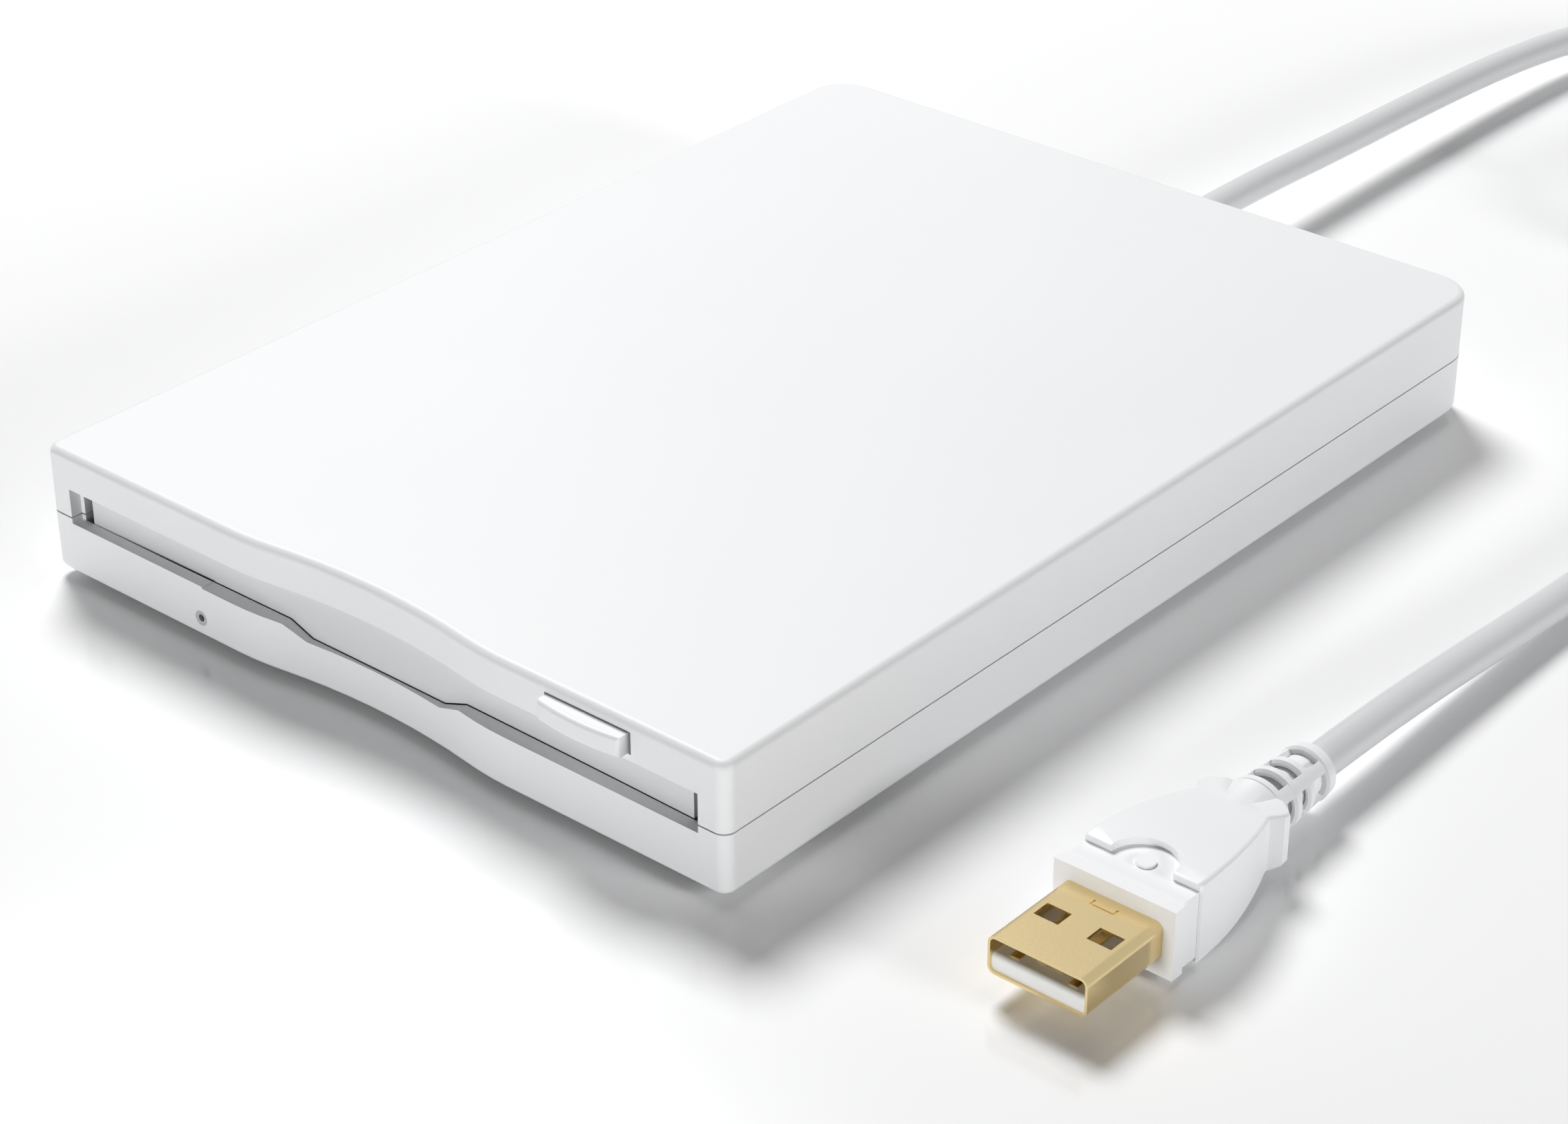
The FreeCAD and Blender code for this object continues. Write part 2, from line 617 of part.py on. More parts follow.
def head_gear():
    y0, y1 = carriage_front, carriage_back
    span = rear_bracket_y
    yield "lead_screw", rod_along_y(screw_x, gear_z, screw_radius, y0 - 1.6, span + bracket_sheet - 0.1)
    yield "guide_rod", rod_along_y(rod_x, gear_z, rod_radius, y0 - 1.6, span + bracket_sheet)
    motor_y = span + bracket_sheet
    motor = rod_along_y(screw_x, gear_z, motor_radius, motor_y, motor_y + motor_length)
    yield "stepper_motor", motor.cut(rod_along_y(screw_x, gear_z, screw_radius + 0.2, motor_y - 1, motor_y + 1))
    body = block(screw_x - 3.5, rod_x + 3.5, y0, y1, gear_z - 2.1, gear_z + 2.1)
    low_arm = block(-arm_half_width, arm_half_width, arm_tip, y1, 4.6, 6.2)
    neck = block(-arm_half_width, arm_half_width, y0, y1, 6.2, gear_z)
    ears = [block(*sorted((side * 5.2, side * 6.4)), y0 + 2.5, y0 + 5.5, gear_z, 14.4) for side in (-1, 1)]
    carriage = joined([body, low_arm, neck] + ears)
    bores = [rod_along_y(screw_x, gear_z, screw_radius + running_clearance, 0, 150),
             rod_along_y(rod_x, gear_z, rod_radius + 0.03, 0, 150),
             rod_along_x(arm_pin_y, arm_pin_z, 0.5, -7, 7)]
    yield "head_carriage", carriage.cut(bores)
    yield "lower_head", block(-2.5, 2.5, arm_tip + 1, arm_tip + 6.5, 6.2, 7.05)
    arm = block(-arm_half_width, arm_half_width, arm_tip + 1, arm_pin_y, 13.0, 13.8)
    hub = rod_along_x(arm_pin_y, arm_pin_z, 1.0, -arm_half_width, arm_half_width)
    bore = rod_along_x(arm_pin_y, arm_pin_z, 0.5 + running_clearance, -7, 7)
    yield "upper_head_arm", joined([arm, hub]).cut(bore)
    yield "upper_head", block(-2.5, 2.5, arm_tip + 1, arm_tip + 6.5, 11.65, 13.0)
    yield "arm_pin", rod_along_x(arm_pin_y, arm_pin_z, 0.5, -6.4, 6.4)


def electronics():
    top = board_z + board_sheet
    board = block(board_left, board_right, board_front, board_back, board_z, top)
    holes = [rod_along_z(x, y, 0.7, 0, 9) for x, y in board_corners()]
    yield "main_board", board.cut(holes)
    yield "board_screws", Part.makeCompound([screw_down(x, y, top, board_sheet + 0.7, 0.6, 1.2, 0.5)
                                             for x, y in board_corners()])
    middle = (board_left + board_right) / 2
    yield "board_chips", Part.makeCompound([block(middle - 5, middle + 5, 108.5, 118.5, top, top + 1.2),
                                            block(middle - 3.5, middle + 3.5, 121.0, 124.0, top, top + 1.2)])
    yield "crystal", rounded(block(middle - 5.5, middle + 5.5, 127.5, 131.5, top, top + 3.0), 1.2, upright)
    yield "capacitors", Part.makeCompound([rod_along_z(board_left + 2.2, 112.0 + 4.6 * i, 1.9, top, top + 4.5)
                                           for i in range(3)])
    yield "board_socket", block(middle - 6, middle + 4, board_front + 0.3, board_front + 3.3, top, top + 2.2)
    strip = block(21.3, 22.7, spindle_y, 112.0, deck_z, deck_z + flex_sheet)
    rise = block(22.5, 22.7, 108.0, 112.0, deck_z, board_z + 0.6)
    flex = joined([strip, rise, block(22.5, board_left, 108.0, 112.0, board_z + 0.4, board_z + 0.6)])
    yield "spindle_flex", without(flex, [rod_along_z(0, spindle_y, 22.0, 0, 9)])
    spots = (("disk_sensor", -36.0), ("write_sensor", 33.0), ("density_sensor", 37.0))
    bodies = []
    for name, x in spots:
        body = block(x - 1.6, x + 1.6, sensor_y - 2.0, sensor_y + 2.0, deck_z, 6.2)
        bodies.append(body.cut(rod_along_z(x, sensor_y, plunger_radius + running_clearance, 4.4, 7)))
        yield f"{name}_plunger", rod_along_z(x, sensor_y, plunger_radius, 5.3, 7.9)
    yield "sensor_bodies", Part.makeCompound(bodies)
    yield "cord_header", block(cord_exit_x - 4, cord_exit_x + 4, header_front, header_back, deck_z, cord_exit_z + 2.8)
    yield "inner_cord", rod_along_y(cord_exit_x, cord_exit_z, cord_radius, header_back, inner_back - 1.4)


def relief(x, z, y0, length, root, tip, slots):
    """A tapered sleeve along Y with staggered slots in its top, bottom and sides."""
    body = Part.makeCone(root, tip, length, V(x, y0, z), V(0, 1, 0))
    cuts = []
    for i in range(slots):
        y = y0 + 1.6 + i * (length - 3.6) / slots
        step = (length - 3.6) / slots
        reach = cord_radius + 0.1
        cuts += [block(x - root, x + root, y, y + step * 0.42, z + side * reach - (root if side < 0 else 0),
                       z + side * reach + (root if side > 0 else 0)) for side in (-1, 1)]
        y += step * 0.5
        cuts += [block(x + side * reach - (root if side < 0 else 0), x + side * reach + (root if side > 0 else 0),
                       y, y + step * 0.42, z - root, z + root) for side in (-1, 1)]
    return body.cut(cuts)


def rear_relief():
    sleeve = relief(cord_exit_x, cord_exit_z, case_depth, relief_length, relief_radius, 2.9, 3)
    neck = rod_along_y(cord_exit_x, cord_exit_z, relief_radius - 1.0, inner_back, case_depth)
    flange = rod_along_y(cord_exit_x, cord_exit_z, relief_radius + 0.4, inner_back - 1.4, inner_back)
    return joined([sleeve, neck, flange])


def tube(points, radius):
    """A tube along straight runs joined by tangent arcs, and its arcs' radii."""
    points = [V(*p) for p in points]
    edges, radii, start = [], [], points[0]
    for before, corner, after in zip(points, points[1:], points[2:]):
        first, second = corner - before, after - corner
        turn = first.getAngle(second)
        cut = 0.45 * min(first.Length, second.Length)
        radii.append(cut / math.tan(turn / 2))
        a = corner - first.normalize() * cut
        b = corner + second.normalize() * cut
        middle = (a + b) * 0.5
        inward = middle - corner
        depth = inward.Length
        rise = depth - radii[-1] * (1 / math.cos(turn / 2) - 1)
        halfway = middle - inward.normalize() * rise
        edges += [Part.LineSegment(start, a).toShape(), arc(a, halfway, b)]
        start = b
    edges.append(Part.LineSegment(start, points[-1]).toShape())
    wire = Part.Wire(edges)
    way = (points[1] - points[0]).normalize()
    ring = Part.Wire([Part.makeCircle(radius, points[0], way)])
    solid = wire.makePipeShell([ring], True, False)
    expected = math.pi * radius ** 2 * wire.Length
    print(f"tube: {wire.Length:.1f} mm, radii {min(radii):.0f} to {max(radii):.0f}, "
          f"volume {solid.Volume / expected:.4f}")
    return solid


# Cord routes: from the case to the coil, and from the coil to the plug
coil_x, coil_y = 62.0, 215.0
coil_turn_radius = 22.5
coil_half_width = 4.3
coil_bottom = 0.5
coil_height = 8.4
case_route = [(cord_exit_x, case_depth + relief_length, cord_exit_z), (cord_exit_x, 166.0, cord_exit_z),
              (2.65, 186.0, 7.2), (2.9, 209.0, 6.7), (3.5, 232.0, 5.9), (5.5, 252.0, 4.6), (14.0, 267.0, 3.4),
              (29.5, 270.5, 2.8), (42.5, 259.0, 2.6), (50.0, 244.0, 2.6), (62.0, 237.0, 2.6)]
plug_route = [(84.5, 215.0, 2.6), (86.0, 198.0, 2.3), (87.6, 176.0, 2.1), (88.0, 151.0, 2.1), (87.4, 126.0, 2.2),
              (86.9, 102.0, 2.6), (86.4, 78.0, 4.0), (plug_x, 63.0, plug_z), (plug_x, plug_relief_end, plug_z)]


def coil_ring():
    outer = rod_along_z(coil_x, coil_y, coil_turn_radius + coil_half_width, coil_bottom, coil_bottom + coil_height)
    ring = outer.cut(rod_along_z(coil_x, coil_y, coil_turn_radius - coil_half_width, 0, 20))
    return rounded(ring, 1.8, lambda e: e.Closed)


def coil_tie(ring):
    grown = 0.5
    low, high = coil_turn_radius - coil_half_width - grown, coil_turn_radius + coil_half_width + grown
    band = block(coil_x - high, coil_x - low, coil_y - 8.5, coil_y - 3.5, 0, coil_bottom + coil_height + grown)
    return band.cut(ring)


def plug():
    """A flat four-contact plug lying along Y with its mouth to the front."""
    x, z, front = plug_x, plug_z, plug_mouth_y
    back = front + usb_length
    half_w, half_h, wall = usb_width / 2, usb_height / 2, usb_sheet
    outer = rounded(block(x - half_w, x + half_w, front, back, z - half_h, z + half_h), usb_corner,
                    lambda e: e.BoundBox.YLength > usb_length - 0.1)
    inner = block(x - half_w + wall, x + half_w - wall, front - 1, back + 1, z - half_h + wall, z + half_h - wall)
    inner = rounded(inner, usb_corner - wall, lambda e: e.BoundBox.YLength > usb_length)
    tab = block(x - 1.5, x + 1.5, front + 10.3, front + 11.2, z + half_h - wall, z + half_h + 1)
    groove = tab.cut(block(x - 1.25, x + 1.25, front + 10.5, front + 11.2, 0, 20))
    groove = groove.common(block(x - 2, x + 2, front, back, z + half_h - 0.12, z + half_h + 1))
    windows = [block(x + s * 3.2 - 1.48, x + s * 3.2 + 1.48, front + 5.5, front + 7.8, z - 9, z + 9) for s in (-1, 1)]
    yield "plug_shell", outer.cut([inner, groove] + windows)
    tongue_top = z - 0.1
    tongue = block(x - half_w + wall, x + half_w - wall, front + 0.3, back, z - half_h + wall, tongue_top)
    tongue = tongue.common(inner)
    yield "plug_insulator", rounded(tongue, 0.5, lambda e: e.BoundBox.ZMin > tongue_top - 0.01
                                    and e.BoundBox.YMax < front + 1)
    contacts = [block(x + place - 0.55, x + place + 0.55, front + 1.1 + late, back, tongue_top, tongue_top + 0.15)
                for place, late in ((-3.5, 0), (-1.0, 1.0), (1.0, 1.0), (3.5, 0))]
    yield "plug_contacts", Part.makeCompound(contacts)
    flange = block(x - 7.35, x + 7.35, back, back + 1.7, z - 4.1, z + 4.1)
    hood_front = back + 4.6
    neck = block(x - 6.9, x + 6.9, back + 1.7, hood_front, z - 3.95, z + 3.95)
    core = block(x - 6.0, x + 6.0, hood_front, back + 9.0, z - 3.5, z + 3.5)
    rest = rod_along_z(x, hood_front, scoop_radius, z, z + 3.95)
    boss = rod_along_z(x, back + 5.3, 1.1, z + 3.9, z + 4.25)
    inner_block = joined([flange, neck, core, rest, boss])
    yield "plug_block", inner_block
    plan_y = [hood_front, back + 12.0, back + 20.3, back + 22.6, back + 24.5]
    plan_half = [7.1, 6.35, 4.1, 5.3, 3.6]
    plan = [(x - w, y) for w, y in zip(plan_half, plan_y)]
    plan += [(2 * x - a, y) for a, y in plan[::-1]]
    tall = [4.75, 4.5, 3.65, 3.45, 3.3]
    side = [(y, z + h) for y, h in zip(plan_y, tall)] + [(y, z - h) for y, h in zip(plan_y[::-1], tall[::-1])]
    hood = prism(plan, z - 8, z + 8).common(prism(side, x - 12, x + 12, "x"))
    root = Part.makeCone(3.3, plug_relief_root, plan_y[-1] - back - 17.5, V(x, back + 17.5, z), V(0, 1, 0))
    hood = joined([hood, root])
    scoop = rod_along_z(x, hood_front, scoop_radius, z + 3.95, z + 9)
    yield "plug_hood", hood.cut([inner_block, scoop])
    yield "plug_relief", relief(x, z, plan_y[-1], plug_relief_end - plan_y[-1], plug_relief_root, 3.15, 3)


def build():
    os.makedirs("parts", exist_ok=True)
    named = {"top_shell": top_shell, "bottom_shell": bottom_shell, "case_screws": case_screws,
             "slot_flap": slot_flap, "flap_pins": flap_pins, "flap_spring": flap_spring,
             "eject_button": eject_button, "chassis": chassis, "chassis_screws": chassis_screws,
             "disk_holder": disk_holder, "holder_pins": holder_pins, "eject_slider": eject_slider,
             "eject_springs": eject_springs, "shutter_lever": shutter_lever, "lever_clip": lever_clip,
             "rear_cord_relief": rear_relief}
    for name, make in named.items():
        saved(name, make())
    ring, tip = lamp()
    saved("lamp_lens", ring)
    saved("lamp", tip)
    for source in (feet, spindle, head_gear, electronics, plug):
        for name, shape in source():
            saved(name, shape)
    coil = coil_ring()
    tie = coil_tie(coil)
    saved("cord_coil", coil)
    saved("coil_tie", tie)
    saved("cord_from_case", tube(case_route, cord_radius).cut([coil, tie]))
    saved("cord_to_plug", tube(plug_route, cord_radius).cut([coil, tie]))


build()
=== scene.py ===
"""External floppy disk drive: its finishes, its cord and plug, and a plain studio round it."""
import json
import logging
import math
from dataclasses import dataclass
from enum import Enum

import bmesh
import bpy
from mathutils import Matrix, Vector

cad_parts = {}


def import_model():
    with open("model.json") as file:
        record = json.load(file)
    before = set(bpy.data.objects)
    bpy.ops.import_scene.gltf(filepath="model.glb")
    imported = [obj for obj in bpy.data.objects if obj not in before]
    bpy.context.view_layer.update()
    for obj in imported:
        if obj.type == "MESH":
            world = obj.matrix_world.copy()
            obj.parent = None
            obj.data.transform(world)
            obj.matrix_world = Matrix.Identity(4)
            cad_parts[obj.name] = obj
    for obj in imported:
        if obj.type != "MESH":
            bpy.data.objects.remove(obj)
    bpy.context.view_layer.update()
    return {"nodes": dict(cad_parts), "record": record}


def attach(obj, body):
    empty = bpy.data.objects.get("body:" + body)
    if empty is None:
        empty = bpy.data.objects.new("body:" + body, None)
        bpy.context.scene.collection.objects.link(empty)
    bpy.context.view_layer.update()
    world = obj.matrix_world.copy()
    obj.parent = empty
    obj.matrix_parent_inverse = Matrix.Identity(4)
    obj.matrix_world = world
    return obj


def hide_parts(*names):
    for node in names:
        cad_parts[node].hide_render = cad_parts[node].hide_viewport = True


LOG = logging.getLogger("floppy_drive")

# The case's front face in the row frame, and the case's depth, in metres
FRONT_Y = -0.07021
CASE_DEPTH = 0.1425

# A finish's slow drift of colour, and the fine grain behind its gloss and bump
CLOUD_SCALE = 38.0
CLOUD_DETAIL = 2.0
CLOUD_BAND = (0.3, 0.7)
GRAIN_DETAIL = 3.0
PLAIN_STRETCH = (1.0, 1.0, 1.0)
BRUSHED_STRETCH = (1.0, 0.04, 1.0)
ROUGHNESS_SPREAD = 0.05
LEAST_ROUGHNESS = 0.02
BUMP_DISTANCE = 0.0001

WHITE = (1.0, 1.0, 1.0, 1.0)


class Grain(Enum):
    """How a moulded or machined surface is textured."""

    SATIN = "satin"
    BRUSHED = "brushed"
    SMOOTH = "smooth"


@dataclass(frozen=True)
class Finish:
    """One finish: its colour, gloss and the scale and depth of its fine texture."""

    name: str
    colour: tuple[float, float, float]
    roughness: float
    grain: Grain = Grain.SATIN
    metallic: float = 0.0
    tint_spread: float = 0.015
    grain_scale: float = 5200.0
    grain_depth: float = 0.035
    coat: float = 0.0

    def _noise(self, tree: bpy.types.NodeTree, coords: bpy.types.Node, scale: float,
               detail: float, stretch: tuple[float, float, float]) -> bpy.types.Node:
        """Add a noise texture on the piece's own coordinates.

        Args:
            tree: The material's node tree.
            coords: The texture coordinate node.
            scale: Noise scale, per metre.
            detail: Noise detail.
            stretch: Scale of the coordinates along X, Y and Z.

        Returns:
            The noise node.
        """
        mapping = tree.nodes.new("ShaderNodeMapping")
        mapping.inputs["Scale"].default_value = stretch
        noise = tree.nodes.new("ShaderNodeTexNoise")
        noise.inputs["Scale"].default_value = scale
        noise.inputs["Detail"].default_value = detail
        tree.links.new(coords.outputs["Object"], mapping.inputs["Vector"])
        tree.links.new(mapping.outputs["Vector"], noise.inputs["Vector"])
        return noise

    def build(self) -> bpy.types.Material:
        """Build the finish as a material.

        Returns:
            The material.
        """
        material = bpy.data.materials.new(self.name)
        material.use_nodes = True
        tree = material.node_tree
        shader = tree.nodes["Principled BSDF"]
        shader.inputs["Metallic"].default_value = self.metallic
        shader.inputs["Coat Weight"].default_value = self.coat
        coords = tree.nodes.new("ShaderNodeTexCoord")
        cloud = self._noise(tree, coords, CLOUD_SCALE, CLOUD_DETAIL, PLAIN_STRETCH)
        tint = tree.nodes.new("ShaderNodeValToRGB")
        low, high = tint.color_ramp.elements
        low.position, high.position = CLOUD_BAND
        low.color = (*[max(0.0, c * (1.0 - self.tint_spread)) for c in self.colour], 1.0)
        high.color = (*[min(1.0, c * (1.0 + self.tint_spread)) for c in self.colour], 1.0)
        tree.links.new(cloud.outputs["Fac"], tint.inputs["Fac"])
        tree.links.new(tint.outputs["Color"], shader.inputs["Base Color"])
        stretch = BRUSHED_STRETCH if self.grain is Grain.BRUSHED else PLAIN_STRETCH
        grain = self._noise(tree, coords, self.grain_scale, GRAIN_DETAIL, stretch)
        rough = tree.nodes.new("ShaderNodeMapRange")
        glossiest = max(LEAST_ROUGHNESS, self.roughness - ROUGHNESS_SPREAD)
        rough.inputs["To Min"].default_value = glossiest
        rough.inputs["To Max"].default_value = min(1.0, self.roughness + ROUGHNESS_SPREAD)
        tree.links.new(grain.outputs["Fac"], rough.inputs["Value"])
        tree.links.new(rough.outputs["Result"], shader.inputs["Roughness"])
        if self.grain is not Grain.SMOOTH:
            bump = tree.nodes.new("ShaderNodeBump")
            bump.inputs["Strength"].default_value = self.grain_depth
            bump.inputs["Distance"].default_value = BUMP_DISTANCE
            tree.links.new(grain.outputs["Fac"], bump.inputs["Height"])
            tree.links.new(bump.outputs["Normal"], shader.inputs["Normal"])
        return material


CASE_WHITE = Finish("case_plastic_satin", (0.80, 0.805, 0.815), 0.5,
                    grain_depth=0.05, tint_spread=0.006)
FLAP_WHITE = Finish("flap_plastic_satin", (0.66, 0.668, 0.68), 0.46,
                    grain_depth=0.04, tint_spread=0.006)
PLUG_WHITE = Finish("plug_plastic_moulded", (0.86, 0.865, 0.875), 0.48,
                    grain_depth=0.09, grain_scale=3800.0)
CORD_WHITE = Finish("cord_jacket", (0.66, 0.668, 0.68), 0.38, grain_depth=0.05, grain_scale=3000.0)
RUBBER = Finish("foot_rubber", (0.22, 0.22, 0.225), 0.75, grain_depth=0.2)
GOLD = Finish("shell_gold", (0.80, 0.64, 0.35), 0.16,
              metallic=1.0, grain_depth=0.06, tint_spread=0.04)
INSULATOR = Finish("tongue_plastic", (0.86, 0.86, 0.84), 0.35, grain_depth=0.02)
LAMP_LENS = Finish("lamp_ring_clear", (0.5, 0.51, 0.52), 0.2, grain=Grain.SMOOTH, coat=0.5)
LAMP_CORE = Finish("lamp_core_dark", (0.02, 0.02, 0.022), 0.15, grain=Grain.SMOOTH, coat=0.5)
STEEL = Finish("zinc_plated_steel", (0.62, 0.62, 0.6), 0.32,
               metallic=1.0, grain=Grain.BRUSHED, tint_spread=0.06)
DARK_STEEL = Finish("dark_steel", (0.12, 0.12, 0.125), 0.35,
                    metallic=1.0, tint_spread=0.08)
BRASS = Finish("turned_brass", (0.78, 0.6, 0.3), 0.28,
               metallic=1.0, grain=Grain.BRUSHED, tint_spread=0.05)
COPPER = Finish("enamelled_copper", (0.62, 0.26, 0.12), 0.25,
                metallic=1.0, tint_spread=0.1)
ALUMINIUM = Finish("aluminium_can", (0.78, 0.78, 0.79), 0.25, metallic=1.0, grain=Grain.BRUSHED)
BOARD_GREEN = Finish("solder_mask", (0.02, 0.16, 0.06), 0.3,
                     tint_spread=0.2, coat=0.4)
FLEX = Finish("flex_film", (0.45, 0.2, 0.04), 0.22, grain=Grain.SMOOTH, tint_spread=0.1)
BLACK = Finish("moulded_black", (0.03, 0.03, 0.032), 0.5, grain_depth=0.1)
CERAMIC = Finish("head_ceramic", (0.3, 0.28, 0.26), 0.18, grain=Grain.SMOOTH, coat=0.3)

# The finish that each CAD material slot wears
SLOT_FINISH = {
    "case_plastic": CASE_WHITE, "flap_plastic": FLAP_WHITE, "button_plastic": CASE_WHITE,
    "plug_plastic": PLUG_WHITE, "cord_jacket": CORD_WHITE, "tie": PLUG_WHITE,
    "rubber": RUBBER, "gold": GOLD, "insulator": INSULATOR,
    "lamp_plastic": LAMP_LENS, "lamp_core": LAMP_CORE, "steel": STEEL,
    "dark_steel": DARK_STEEL, "brass": BRASS, "copper": COPPER, "aluminium": ALUMINIUM,
    "board_green": BOARD_GREEN, "flex": FLEX, "black_plastic": BLACK, "ceramic": CERAMIC,
}


class FinishShelf:
    """Builds each finish once and hands it out."""

    def __init__(self) -> None:
        """Start with nothing built."""
        self._built: dict[str, bpy.types.Material] = {}

    def get(self, finish: Finish) -> bpy.types.Material:
        """Give the material of a finish.

        Args:
            finish: The finish wanted.

        Returns:
            Its material, built on first use.
        """
        if finish.name not in self._built:
            self._built[finish.name] = finish.build()
        return self._built[finish.name]


def piece_from(name: str, bm: bmesh.types.BMesh, material: bpy.types.Material,
               smooth_angle: float = 35.0) -> bpy.types.Object:
    """Turn a bmesh into a piece with smooth faces and sharp creases.

    Args:
        name: The piece's name.
        bm: The mesh, in metres in the row frame. It is freed.
        material: The piece's material.
        smooth_angle: Creases sharper than this, in degrees, stay sharp.

    Returns:
        The new object, at the origin.
    """
    bmesh.ops.recalc_face_normals(bm, faces=bm.faces)
    mesh = bpy.data.meshes.new(name)
    bm.to_mesh(mesh)
    bm.free()
    mesh.materials.append(material)
    mesh.shade_smooth()
    mesh.set_sharp_from_angle(angle=math.radians(smooth_angle))
    obj = bpy.data.objects.new(name, mesh)
    bpy.context.scene.collection.objects.link(obj)
    return obj


def join_rings(bm: bmesh.types.BMesh, rings: list[list[bmesh.types.BMVert]]) -> None:
    """Skin a row of rings into a closed body.

    Args:
        bm: The mesh that holds the rings.
        rings: The rings, each with as many points, from one end to the other.
    """
    for near, far in zip(rings, rings[1:]):
        count = len(near)
        for i in range(count):
            j = (i + 1) % count
            bm.faces.new((near[i], near[j], far[j], far[i]))
    bm.faces.new(rings[0])
    bm.faces.new(list(reversed(rings[-1])))


def settle(piece: bpy.types.Object) -> None:
    """Turn a piece's modifiers into plain mesh.

    Args:
        piece: The piece, which keeps its name and place.
    """
    depsgraph = bpy.context.evaluated_depsgraph_get()
    mesh = bpy.data.meshes.new_from_object(piece.evaluated_get(depsgraph))
    piece.modifiers.clear()
    piece.data = mesh


def dress_nodes(frame: dict, shelf: FinishShelf) -> None:
    """Give each CAD node its slot's finish.

    Args:
        frame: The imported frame.
        shelf: Where finishes come from.
    """
    slots = {entry["node"]: entry["material_slot"] for entry in frame["record"]["subparts"]}
    for name, obj in frame["nodes"].items():
        material = shelf.get(SLOT_FINISH[slots[name]])
        for place in obj.material_slots:
            place.material = material
        if not obj.material_slots:
            obj.data.materials.append(material)
        LOG.info("node %s wears %s", name, material.name)


@dataclass
class Cord:
    """The cord: out of the case, round a tied coil out of view, and back to the plug. Metres."""

    diameter: float = 0.0042
    length: float = 0.75
    coil_centre: tuple[float, float] = (0.062, 0.215)
    coil_outer: float = 0.0246
    coil_inner: float = 0.0179
    layer_low: float = 0.0026
    layer_high: float = 0.0068
    turns: float = 3.25
    rise_start: float = 1.6
    rise_end: float = 1.78
    points_per_turn: int = 16
    steps_along: int = 8
    steps_round: int = 6
    from_case: tuple[tuple[float, float, float], ...] = (
        (0.0026, 0.1520, 0.0082), (0.0026, 0.1660, 0.0082), (0.00265, 0.1860, 0.0072),
        (0.0029, 0.2090, 0.0067), (0.0035, 0.2320, 0.0059), (0.0055, 0.2520, 0.0046),
        (0.0140, 0.2670, 0.0034), (0.0295, 0.2705, 0.0028), (0.0425, 0.2590, 0.0026),
        (0.0500, 0.2470, 0.0026))
    to_plug: tuple[tuple[float, float, float], ...] = (
        (0.0868, 0.1980, 0.0050), (0.0876, 0.1760, 0.0024), (0.0880, 0.1510, 0.0021),
        (0.0874, 0.1260, 0.0022), (0.0869, 0.1020, 0.0026), (0.0864, 0.0780, 0.0040),
        (0.0865, 0.0630, 0.00485), (0.0865, 0.0537, 0.00485))

    def coil_points(self) -> list[tuple[float, float, float]]:
        """Points of the coil's turns, inwards on the table, then outwards on top.

        Returns:
            Points from the case's front face.
        """
        points = []
        steps = int(self.turns * self.points_per_turn)
        width = self.coil_outer - self.coil_inner
        for step in range(1, steps + 1):
            turn = step / self.points_per_turn
            angle = math.pi / 2 - math.tau * turn
            if turn <= self.rise_start:
                radius = self.coil_outer - width * turn / self.rise_start
                height = self.layer_low
            elif turn >= self.rise_end:
                share = (turn - self.rise_end) / (self.turns - self.rise_end)
                radius = self.coil_inner + width * share
                height = self.layer_high
            else:
                share = (turn - self.rise_start) / (self.rise_end - self.rise_start)
                radius = self.coil_inner
                height = self.layer_low + (self.layer_high - self.layer_low) * share
            points.append((self.coil_centre[0] + radius * math.cos(angle),
                           self.coil_centre[1] + radius * math.sin(angle), height))
        return points

    def build(self, shelf: FinishShelf) -> bpy.types.Object:
        """Build the cord as one smooth curve.

        Args:
            shelf: Where finishes come from.

        Returns:
            The cord.
        """
        route = [*self.from_case, *self.coil_points(), *self.to_plug]
        curve = bpy.data.curves.new("cord", "CURVE")
        curve.dimensions = "3D"
        spline = curve.splines.new("NURBS")
        spline.points.add(len(route) - 1)
        for point, (x, y, z) in zip(spline.points, route):
            point.co = (x, y + FRONT_Y, z, 1.0)
        spline.order_u = 3
        spline.use_endpoint_u = True
        spline.resolution_u = self.steps_along
        curve.bevel_depth = self.diameter / 2
        curve.bevel_resolution = self.steps_round
        curve.use_fill_caps = True
        curve.materials.append(shelf.get(CORD_WHITE))
        cord = bpy.data.objects.new("cord", curve)
        bpy.context.scene.collection.objects.link(cord)
        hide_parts("cord_from_case", "cord_coil", "cord_to_plug")
        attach(cord, "case")
        return cord


